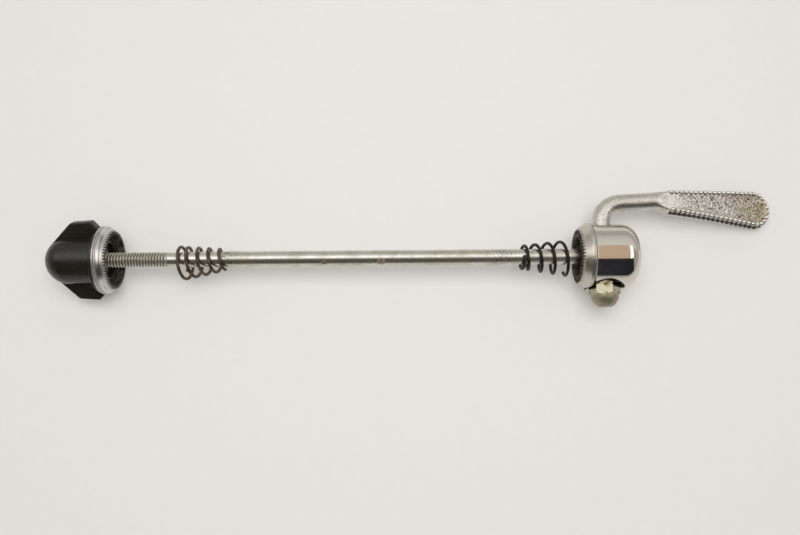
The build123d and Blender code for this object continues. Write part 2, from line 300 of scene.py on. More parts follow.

# %% [markdown]
# ## Chrome plate
# The cup and the ring are turned steel under chrome. Chrome has almost no colour of its own: it
# shows the room, a little blurred by polishing marks that run round the axis. The cup is polished
# and the ring is satin with broken dark streaks, so the range of roughness and the share of streaks
# are arguments. Age adds tiny pits. The mouths, the teeth and the ring's grooves are darkened by
# old grease together with painted shade in these hollows, so each plate has a list of zones for
# it. A zone is a span along the axis with the radius at each end within which the darkening lies.
# The spot face where the domed nut seats is darkened too, as painted shade.


# %% Chrome plate, polished or satin
def chrome_plate(name, tone, streaks, smoothest, roughest, satin_x, zones):
    """Chrome that is satin before a place along X and darkened by grease and painted shade in zones (x,
    radius, x, radius).
    """
    material, tree, mm = start_material(name)
    haze_size_mm, pit_size_mm, mark_size_mm, smear_size_mm = 6, 0.45, 0.16, 1.2
    streak_size_mm, arc_size_mm = 0.45, 4
    soft_edge = 0.06
    x, y, radius = axial(tree, mm)
    ringed = add(tree, "CombineXYZ", {0: x, 1: radius})
    marks = add(tree, "TexNoise", {"Vector": ringed, "Scale": 1 / mark_size_mm, "Detail": 2})
    bands = add(tree, "TexNoise", {"Vector": ringed, "Scale": 1 / streak_size_mm, "Detail": 2})
    arcs = add(tree, "TexNoise", {"Vector": mm, "Scale": 1 / arc_size_mm, "Detail": 3})
    haze = add(tree, "TexNoise", {"Vector": mm, "Scale": 1 / haze_size_mm, "Detail": 5})
    pits = add(tree, "TexNoise", {"Vector": mm, "Scale": 1 / pit_size_mm, "Detail": 2})
    smears = add(tree, "TexNoise", {"Vector": mm, "Scale": 1 / smear_size_mm, "Detail": 4})
    pitted = add(tree, "MapRange", {0: pits, 1: 0.69, 2: 0.76})
    # Grease together with painted shade darkens the hollows: the mouths, the teeth and the grooves.
    grease_and_shade = 0
    for first_x, first_r, last_x, last_r in zones:
        edge_r = add(tree, "MapRange", {0: x, 1: first_x, 2: last_x, 3: first_r, 4: last_r})
        under = add(tree, "Math", {0: edge_r, 1: radius}, operation="SUBTRACT")
        limits = (
            (under, 0, 2 * soft_edge),
            (x, first_x - soft_edge, first_x + soft_edge),
            (x, last_x + soft_edge, last_x - soft_edge),
        )
        zone = 1
        for value, outside, inside in limits:
            share = add(tree, "MapRange", {0: value, 1: outside, 2: inside})
            zone = add(tree, "Math", {0: zone, 1: share}, operation="MULTIPLY")
        grease_and_shade = add(tree, "Math", {0: grease_and_shade, 1: zone}, operation="MAXIMUM")
    # The spot face round the domed nut's seat is darkened as painted shade.
    from_pin = add(tree, "VectorMath", {0: mm, 1: (-cam_x, 0, 0)}, operation="ADD")
    from_pin = add(tree, "VectorMath", {0: from_pin, 1: (1, 0, 1)}, operation="MULTIPLY")
    pin_gap = add(tree, "VectorMath", {0: from_pin}, operation="LENGTH")
    round_pin = add(tree, "MapRange", {0: pin_gap, 1: spot_r + 0.15, 2: spot_r})
    low_side = add(tree, "MapRange", {0: y, 1: spot_y + 0.4, 2: spot_y + 0.2})
    seat = add(tree, "Math", {0: round_pin, 1: low_side}, operation="MULTIPLY")
    grease_and_shade = add(tree, "Math", {0: grease_and_shade, 1: seat}, operation="MAXIMUM")
    smeared = add(tree, "MapRange", {0: smears, 1: 0.3, 2: 0.6, 3: 0.8, 4: 1})
    grease_and_shade_share = add(tree, "Math", {0: grease_and_shade, 1: smeared}, operation="MULTIPLY")
    banded = add(tree, "MapRange", {0: bands, 1: 0.5, 2: 0.62, 4: streaks})
    broken = add(tree, "MapRange", {0: arcs, 1: 0.45, 2: 0.56})
    streak = add(tree, "Math", {0: banded, 1: broken}, operation="MULTIPLY")
    streaked = add(tree, "Mix", {0: streak, 6: tone, 7: "#4A463F"}, data_type="RGBA")
    plate = add(tree, "Mix", {0: pitted, 6: streaked, 7: "#6E675C"}, data_type="RGBA")
    satin = add(tree, "MapRange", {0: x, 1: satin_x + 0.1, 2: satin_x - 0.1})
    faced = add(tree, "Mix", {0: satin, 6: plate, 7: "#C6C0B7"}, data_type="RGBA")
    cloudy = add(tree, "Math", {0: haze, 1: marks}, operation="ADD")
    blur = add(tree, "MapRange", {0: cloudy, 1: 0.7, 2: 1.4, 3: smoothest, 4: roughest})
    rough = add(tree, "Math", {0: satin, 1: 0.18, 2: blur}, operation="MULTIPLY_ADD")
    lines = add(tree, "Bump", {"Height": marks, "Strength": 0.5 * roughest, "Distance": 0.02 * MM})
    dents = add(tree, "Bump", {"Height": pitted, "Strength": 0.25, "Distance": 0.03 * MM,
                               "Normal": lines}, invert=True)
    return finish_material(material, {
        "Base Color": add(tree, "Mix", {0: grease_and_shade_share, 6: faced, 7: "#2C2112"}, data_type="RGBA"),
        "Roughness": add(tree, "Math", {0: grease_and_shade_share, 1: 0.35, 2: rough}, operation="MULTIPLY_ADD"),
        "Metallic": add(tree, "MapRange", {0: grease_and_shade_share, 3: 1, 4: 0}),
        "Specular IOR Level": 0.2,
        "Normal": dents,
    })


cam_x = 8.2
spot_r, spot_y = 6.2, -8.0
bore_r, bore_depth, face_r = 6.25, 15.2, 8.75
_, cup_high = (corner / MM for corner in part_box("cam_housing"))
flange_r, flange_rise, flange_land = cup_high.z, 2.6, 1.2
under_skin = 0.04
bright_chrome = chrome_plate("chrome_plate_polished", "#D6D1C8", 0, 0.06, 0.14, flange_rise + flange_land, [
    (-0.1, face_r - 0.35, flange_rise - 0.3, flange_r - 0.5),
    (-0.1, bore_r + 0.1, bore_depth, bore_r + 0.1),
])
ring_low, ring_high = (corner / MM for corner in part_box("nut_ring"))
ring_r = ring_high.z
ring_land = 1.5
ring_mouth_r, ring_face_r = 8.2, 9.1
satin_chrome = chrome_plate("chrome_plate_satin", "#CFCDC9", 0.8, 0.2, 0.32, ring_low.x, [
    (ring_low.x + ring_land + 0.3, ring_r - 0.25, ring_high.x + 0.1, ring_face_r - under_skin),
    (ring_low.x - 0.1, ring_r - under_skin, ring_low.x + ring_land - 0.25, ring_r - under_skin),
])

# %% [markdown]
# ## Plated rod
# The rod is drawn steel under thin zinc plate. Drawing leaves faint lines along it, and years of
# grease leave an olive tarnish in soft patches, with fine dark speckle where the springs have
# rubbed. A few rust marks sit low on the near side. In the thread the dirt stays in the grooves, so
# the colour goes with the distance from the axis.

# %% Sizes of the rod
rod_low, rod_high = (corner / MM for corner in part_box("skewer_rod"))
rod_d = 5.0
thread_d = 4.8
neck_d = 4.55
thread_length = 27.0
neck_length = 5.6
rod_point = 0.6
thread_pitch = 0.94
thread_depth = 0.4
thread_end_x = rod_low.x + thread_length
shaft_x = thread_end_x + neck_length
print("thread ends at", round(thread_end_x, 2), "and the shaft starts at", round(shaft_x, 2))


# %% Zinc plated steel, drawn and tarnished
def plated_rod():
    material, tree, mm = start_material("zinc_plated_steel_drawn")
    rust_marks = ((-80.6, -1.7, 1.7, 1.6), (-66.0, -1.7, 1.7, 1.3), (-62.5, -1.5, 1.9, 2.6))
    worn_ends = (-111.0, -25.0)
    worn_reach = 11
    patch_size_mm, speckle_size_mm, line_size_mm = 4, 0.55, 0.25
    x, _, radius = axial(tree, mm)
    draw = add(tree, "Mapping", {"Vector": mm, "Scale": (0.04, 1, 1)})
    lines = add(tree, "TexNoise", {"Vector": draw, "Scale": 1 / line_size_mm, "Detail": 3})
    patches = add(tree, "TexNoise", {"Vector": mm, "Scale": 1 / patch_size_mm, "Detail": 6,
                                     "Roughness": 0.65})
    speckle = add(tree, "TexNoise", {"Vector": mm, "Scale": 1 / speckle_size_mm, "Detail": 4,
                                     "Roughness": 0.7})
    olive = add(tree, "MapRange", {0: patches, 1: 0.38, 2: 0.7})
    plate = add(tree, "Mix", {0: olive, 6: "#D2D0C8", 7: "#B8B5A4"}, data_type="RGBA")
    wear = 0
    for centre in worn_ends:
        off = add(tree, "Math", {0: x, 1: centre}, operation="SUBTRACT")
        off = add(tree, "Math", {0: off}, operation="ABSOLUTE")
        near = add(tree, "MapRange", {0: off, 1: worn_reach, 2: 0})
        wear = add(tree, "Math", {0: wear, 1: near}, operation="MAXIMUM")
    limit = add(tree, "MapRange", {0: wear, 3: 0.73, 4: 0.52})
    over = add(tree, "Math", {0: speckle, 1: limit}, operation="SUBTRACT")
    dark = add(tree, "MapRange", {0: over, 1: 0, 2: 0.06})
    worn = add(tree, "Mix", {0: dark, 6: plate, 7: "#4E4A40"}, data_type="RGBA")
    rust = blots(tree, mm, rust_marks, 0)
    ragged = add(tree, "Math", {0: rust, 1: speckle}, operation="MULTIPLY")
    rusty = add(tree, "MapRange", {0: ragged, 1: 0.22, 2: 0.42})
    stained = add(tree, "Mix", {0: rusty, 6: worn, 7: "#6B4A1F"}, data_type="RGBA")
    groove = add(tree, "MapRange", {0: radius, 1: thread_d / 2 - 0.02, 2: thread_d / 2 - thread_depth})
    threaded = add(tree, "MapRange", {0: x, 1: thread_end_x + 0.2, 2: thread_end_x})
    grime = add(tree, "Math", {0: groove, 1: threaded}, operation="MULTIPLY")
    dull = add(tree, "Math", {0: grime, 1: rusty}, operation="MAXIMUM")
    shine = add(tree, "MapRange", {0: patches, 1: 0.3, 2: 0.75, 3: 0.2, 4: 0.36})
    ridges = add(tree, "Bump", {"Height": lines, "Strength": 0.3, "Distance": 0.02 * MM})
    pocks = add(tree, "Bump", {"Height": dark, "Strength": 0.3, "Distance": 0.04 * MM,
                               "Normal": ridges}, invert=True)
    return finish_material(material, {
        "Base Color": add(tree, "Mix", {0: grime, 6: stained, 7: "#5E5841"}, data_type="RGBA"),
        "Roughness": add(tree, "Math", {0: dull, 1: 0.4, 2: shine}, operation="MULTIPLY_ADD"),
        "Metallic": add(tree, "MapRange", {0: dull, 3: 1, 4: 0.35}),
        "Normal": pocks,
    })


rod_plate = plated_rod()

# %% [markdown]
# ## The rod
# The rod is turned from one outline. Its thread is a shift of that outline: each point moves
# inwards by a wave that climbs one pitch for each turn round the axis, which is all that a thread
# is. Rows are close together there, so that every ridge has a flank. The eye at the other end is a
# disc with a slot, and the cam runs in it.


# %% Mesh of the rod
def thread_cut(x, r, angle):
    """A point of the rod, moved into its thread groove."""
    from_end = min(x - rod_low.x, thread_end_x - x)
    if from_end <= 0:
        return x, r
    phase = (x / thread_pitch - angle / (2 * pi)) % 1
    groove = 0.5 + 0.5 * cos(2 * pi * phase)
    fade = min(1, from_end / (0.6 * thread_pitch))
    return x, min(r, thread_d / 2 - thread_depth * groove * fade)


def rod_mesh():
    rows_in_pitch = 9
    shaft_segments, eye_segments, slot_segments = 56, 96, 64
    eye_r, eye_half = rod_high.z, rod_high.y
    eye_x = rod_high.x - eye_r
    slot_r, slot_run = 3.26, 1.0
    outline = [
        (rod_low.x, 0, 0),
        (rod_low.x, thread_d / 2 - rod_point, 0.1),
        (rod_low.x + rod_point, thread_d / 2, 0.1),
        (thread_end_x, thread_d / 2, 0.12),
        (thread_end_x, neck_d / 2, 0.05),
        (shaft_x, neck_d / 2, 0.2),
        (shaft_x + 0.3, rod_d / 2, 0.3),
        (eye_x - slot_r, rod_d / 2, 0),
        (eye_x - slot_r, 0, 0),
    ]
    fine = divided(rounded(outline), thread_pitch / rows_in_pitch, rod_low.x + rod_point, thread_end_x)
    shaft = skin(turned(fine, shaft_segments, thread_cut))
    disc = [(-eye_half, 0, 0), (-eye_half, eye_r, 0.3), (eye_half, eye_r, 0.3), (eye_half, 0, 0)]
    eye = crosswise(rounded(disc), eye_segments, eye_x)
    slot_ring = []
    for angle in circle(slot_segments):
        lift = slot_run if cos(angle) > 0 else 0
        slot_ring.append(Vector((eye_x + slot_r * sin(angle), 0, slot_r * cos(angle) + lift)))
    reach = Vector((0, eye_half + 1, 0))
    slot_rings = [[point + reach * end for point in slot_ring] for end in (-1, 1)]
    slot = skin(slot_rings, capped=True)
    return combine(combine(shaft, eye, "UNION"), slot, "DIFFERENCE")


place("plated_rod", rod_mesh(), rod_plate, "rod", "skewer_rod")

# %% [markdown]
# ## Serrated faces
# Both clamping faces have a ring of small V cuts, so that they bite into the frame's dropouts. The
# cuts deepen outwards. On a turned mesh this is again a shift: a point that lies in a cut moves back
# to the cut's floor. Eight segments to a tooth give each V a clean bottom and a flat crown.

# %% Cut of a serrated face
head_teeth = 52
ring_teeth = 60
tooth_depth = 0.6
tooth_gap_width = 0.75
tooth_inset = 0.3
segments_in_tooth = 8


def tooth_cut(r, angle, inner_r, outer_r, teeth):
    """Depth of the serration at a radius and an angle."""
    inner_r += tooth_inset
    if r <= inner_r:
        return 0
    half_share = tooth_gap_width / (2 * pi * outer_r / teeth) / 2
    off_middle = abs(angle * teeth / (2 * pi) % 1 - 0.5)
    across = max(0, 1 - off_middle / half_share)
    return tooth_depth * across * min(1, (r - inner_r) / (outer_r - inner_r))


print("teeth on the two faces:", head_teeth, "and", ring_teeth)

# %% [markdown]
# ## The cam head's cup
# The cup is turned, drilled through for the lever's pin, and spot-faced where the domed nut seats.
# It is the brightest piece of all, so its corner, its flange and the small hollow between them have
# many rows: a mirror shows every facet.

# %% Mesh of the cup
cup_r, cup_corner = 10.2, 5.2
near_pin_r, far_pin_r = 4.1, 2.75
drill_segments = 96


def cup_shift(x, r, angle):
    """A point of the cup's face, moved to the floor of its serration."""
    return max(x, tooth_cut(r, angle, bore_r, face_r, head_teeth)) if x < flange_rise / 2 else x, r


def drill(radius, first_y, last_y):
    """A round tool along Y through the cam's axis."""
    outline = [(first_y, 0), (first_y, radius), (last_y, radius), (last_y, 0)]
    return crosswise(outline, drill_segments, cam_x)


def cup_mesh():
    outline = [
        (bore_depth, 0, 0),
        (bore_depth, bore_r, 0.4),
        (0, bore_r, 0.1),
        (0, face_r, 0.12),
        (flange_rise, flange_r, 0.7),
        (flange_rise + flange_land, flange_r, 0.45),
        (flange_rise + flange_land, cup_r, 0.4),
        (cup_high.x, cup_r, cup_corner),
        (cup_high.x, 0, 0),
    ]
    face_end_x = flange_rise + flange_land
    face_row, wall_row = 0.35, 0.5
    fine = divided(rounded(outline, steps=12), face_row, -0.1, face_end_x)
    fine = divided(fine, wall_row, face_end_x, cup_high.x)
    cup = skin(turned(fine, head_teeth * segments_in_tooth, cup_shift))
    cup = combine(cup, drill(near_pin_r, 0, cup_high.z + 1), "DIFFERENCE")
    cup = combine(cup, drill(far_pin_r, -cup_high.z - 1, 0), "DIFFERENCE")
    return combine(cup, drill(spot_r, -cup_high.z - 1, spot_y), "DIFFERENCE")


place("cam_cup", cup_mesh(), bright_chrome, "head", "cam_housing")

# %% [markdown]
# ## The nut's serrated ring
# The ring is a chromed collar held on the nut. Its rim has a few fine turned grooves behind the
# cone, and its mouth is as wide as the nut's hollow.

# %% Mesh of the ring
ring_back = 1.0
ring_bore_r = 6.85
ring_groove = 0.16


def ring_shift(x, r, angle):
    """A point of the ring's face, moved to the floor of its serration."""
    cut = tooth_cut(r, angle, ring_mouth_r, ring_face_r, ring_teeth)
    return min(x, ring_high.x - cut) if x > ring_low.x + ring_land else x, r


def ring_mesh():
    outline = [
        (ring_low.x, ring_bore_r, 0.1),
        (ring_low.x + ring_back, ring_bore_r, 0.1),
        (ring_low.x + ring_back, ring_mouth_r, 0.15),
        (ring_high.x, ring_mouth_r, 0.08),
        (ring_high.x, ring_face_r, 0.1),
        (ring_low.x + ring_land, ring_r, 0.25),
    ]
    step = ring_land / 5
    for number in (4, 3, 2, 1):
        depth = ring_groove if number % 2 == 0 else 0
        outline.append((ring_low.x + number * step, ring_r - depth, 0.05))
    outline.append((ring_low.x, ring_r, 0.15))
    cone_row = 0.3
    fine = divided(rounded(outline, closed=True), cone_row, ring_low.x + ring_land, ring_high.x + 0.1)
    return skin(turned(fine, ring_teeth * segments_in_tooth, ring_shift), loop=True)


place("serrated_ring", ring_mesh(), satin_chrome, "ring", "nut_ring")

# %% [markdown]
# ## Black moulded plastic
# The cap is moulded nylon, glossy when new. Handling has left it a soft sheen with small scuffs, so
# the roughness is uneven and a faint grain breaks the highlight up. Dust shows as a slight brown.


# %% Nylon, moulded and handled
def moulded_nylon():
    material, tree, mm = start_material("black_nylon_moulded")
    sheen_size_mm, grain_size_mm, scuff_size_mm = 5, 0.3, 0.8
    sheen = add(tree, "TexNoise", {"Vector": mm, "Scale": 1 / sheen_size_mm, "Detail": 4})
    grain = add(tree, "TexNoise", {"Vector": mm, "Scale": 1 / grain_size_mm, "Detail": 3})
    stretch = add(tree, "Mapping", {"Vector": mm, "Scale": (0.25, 1, 1), "Rotation": (0, 0.3, 0.5)})
    scuffs = add(tree, "TexNoise", {"Vector": stretch, "Scale": 1 / scuff_size_mm, "Detail": 4})
    scuffed = add(tree, "MapRange", {0: scuffs, 1: 0.62, 2: 0.72})
    worn = add(tree, "Math", {0: scuffed, 1: 0.5}, operation="MULTIPLY")
    tint = add(tree, "Mix", {0: sheen, 6: "#16130D", 7: "#211B14"}, data_type="RGBA")
    gloss = add(tree, "MapRange", {0: sheen, 1: 0.3, 2: 0.7, 3: 0.22, 4: 0.32})
    return finish_material(material, {
        "Base Color": add(tree, "Mix", {0: worn, 6: tint, 7: "#3A3733"}, data_type="RGBA"),
        "Roughness": add(tree, "Math", {0: scuffed, 1: 0.15, 2: gloss}, operation="MULTIPLY_ADD"),
        "IOR": 1.53,
        "Specular IOR Level": 0.38,
        "Normal": add(tree, "Bump", {"Height": grain, "Strength": 0.12, "Distance": 0.05 * MM}),
    })


nylon = moulded_nylon()

# %% [markdown]
# ## The winged cap
# The cap is a bullet with two wings. The bullet is turned, each wing is a flat outline with
# rounded edges, and a union makes them one moulding. A moulding has no sharp edges, so each wing's
# rim is bevelled before it joins.

# %% Mesh of the cap
cap_low, _ = (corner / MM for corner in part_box("nut_body"))
cap_back_x = ring_low.x - 0.05
cap_flange, cap_flange_r = 1.1, 10.3
boss_r = 7.7
spigot_r, lip, lip_length = 6.8, 0.45, 0.7
mouth_r, insert_r = 5.5, 4.2
insert_front_x = ring_high.x - 3.6
insert_back_x = insert_front_x - 10.0
wing_count, wing_turn = 2, radians(27)
wing_r, wing_rise, wing_thickness = 12.5, 0.4, 3.4
wing_flat, wing_slope_run, wing_corner_run = 6.4, 6.6, 2.3
wing_root_r = 5.8
wing_round = 0.4


def wing_mesh(turn):
    """One wing, drawn flat in the plane through the axis, then turned to its place."""
    flat_x = cap_back_x - wing_corner_run
    outline = rounded(
        [
            (flat_x - wing_flat - wing_slope_run, wing_root_r, 0),
            (flat_x - wing_flat, wing_r, 1.6),
            (flat_x, wing_r + wing_rise, 0.8),
            (cap_back_x - 0.05, cap_flange_r, 0),
            (cap_back_x - 0.05, wing_root_r, 0),
        ],
        closed=True,
    )
    half = wing_thickness / 2
    shape = bmesh.new()
    sides = [[Vector((x, y, r)) for x, r in outline] for y in (-half, half)]
    shape.from_mesh(skin(sides, capped=True))
    rims = [edge for edge in shape.edges if abs(edge.verts[0].co.y - edge.verts[1].co.y) < 1e-6]
    bmesh.ops.bevel(shape, geom=rims, offset=wing_round, segments=3, profile=0.5, affect="EDGES")
    wing = to_mesh(shape)
    wing.transform(Matrix.Rotation(turn, 4, "X"))
    return wing


def cap_mesh():
    lip_x = ring_low.x + ring_back + 0.05
    nose_wall = 2.2
    rod_room = thread_d / 2 + 0.2
    outline = [
        (cap_low.x, 0, 0),
        (cap_low.x, boss_r, boss_r * 0.999),
        (cap_back_x - cap_flange, boss_r, 0.6),
        (cap_back_x - cap_flange, cap_flange_r, 0.3),
        (cap_back_x, cap_flange_r, 0.2),
        (cap_back_x, spigot_r, 0),
        (lip_x, spigot_r, 0),
        (lip_x, spigot_r + lip, 0.1),
        (lip_x + lip, spigot_r + lip, 0.1),
        (lip_x + lip_length, spigot_r, 0),
        (lip_x + lip_length, mouth_r, 0.1),
        (insert_front_x, mouth_r, 0),
        (insert_front_x, insert_r, 0),
        (insert_back_x, insert_r, 0),
        (insert_back_x, rod_room, 0),
        (cap_low.x + nose_wall, rod_room, 0),
        (cap_low.x + nose_wall, 0, 0),
    ]
    nose_steps, cap_segments = 14, 128
    cap = skin(turned(rounded(outline, steps=nose_steps), cap_segments))
    for number in range(wing_count):
        turn = wing_turn - pi / 2 + number * 2 * pi / wing_count
        cap = combine(cap, wing_mesh(turn), "UNION")
    return cap


place("winged_cap", cap_mesh(), nylon, "nut", "nut_body")

# %% [markdown]
# ## Spring wire
# The springs are wound from hard-drawn wire with a black oxide skin. The skin wears to brown where
# the coils rub, so one recipe serves both springs, with its own share of brown for each.


# %% Spring steel, blackened
def spring_wire(name, base, worn, share):
    material, tree, mm = start_material(name)
    patch_size_mm, grain_size_mm = 1.6, 0.25
    patches = add(tree, "TexNoise", {"Vector": mm, "Scale": 1 / patch_size_mm, "Detail": 5,
                                     "Roughness": 0.7})
    grain = add(tree, "TexNoise", {"Vector": mm, "Scale": 1 / grain_size_mm, "Detail": 3})
    rubbed = add(tree, "MapRange", {0: patches, 1: 0.7 - share, 2: 0.8 - share})
    return finish_material(material, {
        "Base Color": add(tree, "Mix", {0: rubbed, 6: base, 7: worn}, data_type="RGBA"),
        "Roughness": add(tree, "MapRange", {0: grain, 1: 0.3, 2: 0.7, 3: 0.34, 4: 0.52}),
        "Metallic": 0.75,
        "Normal": add(tree, "Bump", {"Height": grain, "Strength": 0.25, "Distance": 0.03 * MM}),
    })


brown_wire = spring_wire("spring_steel_browned", "#42362C", "#6B5A4A", 0.28)
black_wire = spring_wire("spring_steel_black_oxide", "#2A2624", "#4E443C", 0.16)

# %% [markdown]
# ## The springs
# Each spring is a cone that hangs on the rod, so its wide end sits lower than the rod's axis. Its
# first turn is drawn close and the others are open. The wire's path is worked out step by step,
# and a round section is carried along it. The ends are plain shears, as on the real ones.

# %% Meshes of the springs
wire_d = 1.0
hang_gap = 0.05


def spring_end(x, play, lean):
    """Coil radius and centre where the spring hangs on the rod with this much play."""
    hang = play - hang_gap
    return rod_d / 2 + play + wire_d / 2, Vector((x, -hang * sin(lean), -hang * cos(lean)))


def spring_mesh(start, end, close, turns, roll):
    """Round wire along a conical coil with one close turn and then some open ones."""
    start_r, start_at = start
    end_r, end_at = end
    steps_in_turn, sides = 44, 14
    length = (end_at - start_at).length
    axis = (end_at - start_at).normalized()
    up = Vector((-axis.z, 0, axis.x)).normalized()
    side = axis.cross(up)
    steps = round((1 + turns) * steps_in_turn)
    path, centres = [], []
    for step in range(steps + 1):
        turned_by = (1 + turns) * step / steps
        run = close * min(turned_by, 1) + (length - close) * max(0, turned_by - 1) / turns
        angle = roll + 2 * pi * turned_by
        radius = start_r + (end_r - start_r) * run / length
        centres.append(start_at.lerp(end_at, run / length))
        path.append(centres[-1] + (up * cos(angle) + side * sin(angle)) * radius)
    rings = []
    for step, point in enumerate(path):
        ahead = (path[min(step + 1, steps)] - path[max(step - 1, 0)]).normalized()
        out = (point - centres[step]).normalized()
        out = (out - ahead * out.dot(ahead)).normalized()
        over = ahead.cross(out)
        rings.append([point + (out * cos(turn) + over * sin(turn)) * wire_d / 2 for turn in circle(sides)])
    return skin(rings, capped=True)


nut_face_x = ring_high.x
nut_spring_x, nut_spring_length = nut_face_x + 20.2, 14.8
nut_lean = radians(22)
nut_play, nut_widening = 0.3, 2.05
nut_coil = spring_mesh(
    spring_end(nut_spring_x, nut_play + nut_widening, nut_lean),
    spring_end(nut_spring_x + nut_spring_length, nut_play, nut_lean),
    close=1.9,
    turns=3.8,
    roll=radians(-200),
)
head_spring_x, head_spring_length = -2.8, 14.9
head_lean = radians(2)
head_play, head_widening = 0.6, 1.95
head_coil = spring_mesh(
    spring_end(head_spring_x - head_spring_length, head_play, head_lean),
    spring_end(head_spring_x, head_play + head_widening, head_lean),
    close=1.1,
    turns=3.37,
    roll=0,
)
place("spring_at_nut", nut_coil, brown_wire, "nut_spring", "left_spring")
place("spring_at_head", head_coil, black_wire, "head_spring", "right_spring")

# %% [markdown]
# ## Worn lever steel
# The lever is forged steel under dull plate. Forging leaves a fine grain, wear polishes what a hand
# touches, and pits collect dirt. Towards the tip the plate has yellowed, with two specks of rust.


# %% Forged steel, plated and worn
GRIME_AND_SHADE = "grime"


def lever_steel():
    material, tree, mm = start_material("forged_steel_plated_worn")
    rust_specks = ((64.0, 18.4, -6.9, 1.2), (64.0, 13.3, -6.9, 1.3))
    tarnish_start_x, tarnish_end_x = 46, 62
    grain_size_mm, pit_size_mm, patch_size_mm = 0.35, 0.7, 3
    axes = add(tree, "SeparateXYZ", {0: mm})
    grain = add(tree, "TexNoise", {"Vector": mm, "Scale": 1 / grain_size_mm, "Detail": 4,
                                   "Roughness": 0.6})
    pits = add(tree, "TexNoise", {"Vector": mm, "Scale": 1 / pit_size_mm, "Detail": 3,
                                  "Roughness": 0.65})
    patches = add(tree, "TexNoise", {"Vector": mm, "Scale": 1 / patch_size_mm, "Detail": 5})
    toned = add(tree, "Mix", {0: patches, 6: "#DCDAD5", 7: "#BFBBB3"}, data_type="RGBA")
    reach = add(tree, "MapRange", {0: axes.outputs[0], 1: tarnish_start_x, 2: tarnish_end_x})
    uneven = add(tree, "Math", {0: reach, 1: patches}, operation="MULTIPLY")
    yellow = add(tree, "MapRange", {0: uneven, 1: 0.1, 2: 0.6, 4: 0.8})
    aged = add(tree, "Mix", {0: yellow, 6: toned, 7: "#9C8965"}, data_type="RGBA")
    pitted = add(tree, "MapRange", {0: pits, 1: 0.58, 2: 0.68})
    spotted = add(tree, "Mix", {0: pitted, 6: aged, 7: "#4A453D"}, data_type="RGBA")
    rust = blots(tree, mm, rust_specks, 1 / 3)
    ragged = add(tree, "Math", {0: rust, 1: grain}, operation="MULTIPLY")
    rusty = add(tree, "MapRange", {0: ragged, 1: 0.3, 2: 0.5})
    stained = add(tree, "Mix", {0: rusty, 6: spotted, 7: "#6A3A22"}, data_type="RGBA")
    # The grime attribute holds dirt in the stipple's hollows, painted shade with dirt on the paddle's walls
    # and the beads' feet, and polish where it is below 0.
    grime = add(tree, "Attribute", {}, attribute_name=GRIME_AND_SHADE).outputs["Fac"]
    rubbed = add(tree, "MapRange", {0: grime, 1: 0, 2: -0.4, 4: 0.8})
    bright = add(tree, "Mix", {0: rubbed, 6: stained, 7: "#EDEBE6"}, data_type="RGBA")
    smooth = add(tree, "MapRange", {0: grain, 1: 0.3, 2: 0.7, 3: 0.26, 4: 0.42})
    bump = add(tree, "Bump", {"Height": grain, "Strength": 0.9, "Distance": 0.07 * MM})
    dents = add(tree, "Bump", {"Height": pitted, "Strength": 0.4, "Distance": 0.06 * MM,
                               "Normal": bump}, invert=True)
    return finish_material(material, {
        "Base Color": add(tree, "Mix", {0: grime, 6: bright, 7: "#3B352C"}, data_type="RGBA"),
        "Roughness": add(tree, "Math", {0: grime, 1: 0.3, 2: smooth}, operation="MULTIPLY_ADD"),
        "Metallic": 1,
        "Normal": dents,
    })


lever_plate = lever_steel()

# %% [markdown]
# ## The lever
# The stem is round, bends, and then flares into a flat paddle that curves down to the sheet. One
# skin covers it all: a row of sections along the lever, each with as many points, whose shape goes
# from a circle to a trapezium. The paddle's top is sunk inside its rim and stippled by noise, and a
# bead stands on the rim at every step, as on the real one. Dirt keeps to the hollows of the
# stipple. The paddle's walls and the feet of the beads are darkened by dirt and painted shade, and
# hands polish what stands proud.

# %% Sizes of the lever
nut_low, nut_high = (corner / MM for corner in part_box("acorn_nut"))
stem_r = 2.85
bend_r = 6.4
arm_y = 17.4
arm_rise = radians(3)
flare_x = 24.5
flare_length = 5.8
paddle_tip_x = 66.8
paddle_sweep = radians(2.1)
top_slopes = (radians(9), radians(19))
under_slopes = (radians(4), radians(17.5))
wall_spread = tan(radians(8))
root_half = 4.6
tip_half = 6.2
stud_r, stud_length = 2.4, 4.6
far_journal_r, near_journal_r = 2.7, 4.05
cam_r, cam_throw = 3.0, 1.0
pin_y = 3.0
journal_y = sqrt(cup_r**2 - near_journal_r**2) - 0.05
arm_corner_y = arm_y - bend_r * tan(arm_rise)
flare_y = arm_corner_y + (flare_x - cam_x) * tan(arm_rise)
paddle_run = paddle_tip_x - flare_x
tip_run = paddle_run - tip_half


def sag(run, slopes):
    """Drop of a round curve over part of the paddle's run, from its slopes at root and tip."""
    curve_r = paddle_run / (sin(slopes[1]) - sin(slopes[0]))
    return curve_r * (cos(slopes[0]) - sqrt(1 - (sin(slopes[0]) + run / curve_r) ** 2))


def top_z(run):
    return stem_r - sag(run, top_slopes)


def under_z(run):
    return -stem_r - sag(run, under_slopes)


def middle_y(run):
    return flare_y - run * tan(paddle_sweep)


outline_z = under_z(paddle_run)


def half_width(run, z):
    """Half the paddle's width at a height."""
    outline = root_half + (tip_half - root_half) * run / tip_run
    return outline - (z - outline_z) * wall_spread


print("paddle runs", round(paddle_run, 1), "mm and drops to", round(outline_z, 2))

# %% Sections of the lever
flats = (10, 8, 44, 8)
corner_steps = 4
first_top = 3 * (corner_steps + 1) + flats[0] + flats[1]
last_top = first_top + flats[2]
corner_r = 0.45
rim_width = 0.5
recess_slope = 1.6
recess_depth = 0.35
soft_start = 9
stipple_size = 0.42
stipple_height = 0.3


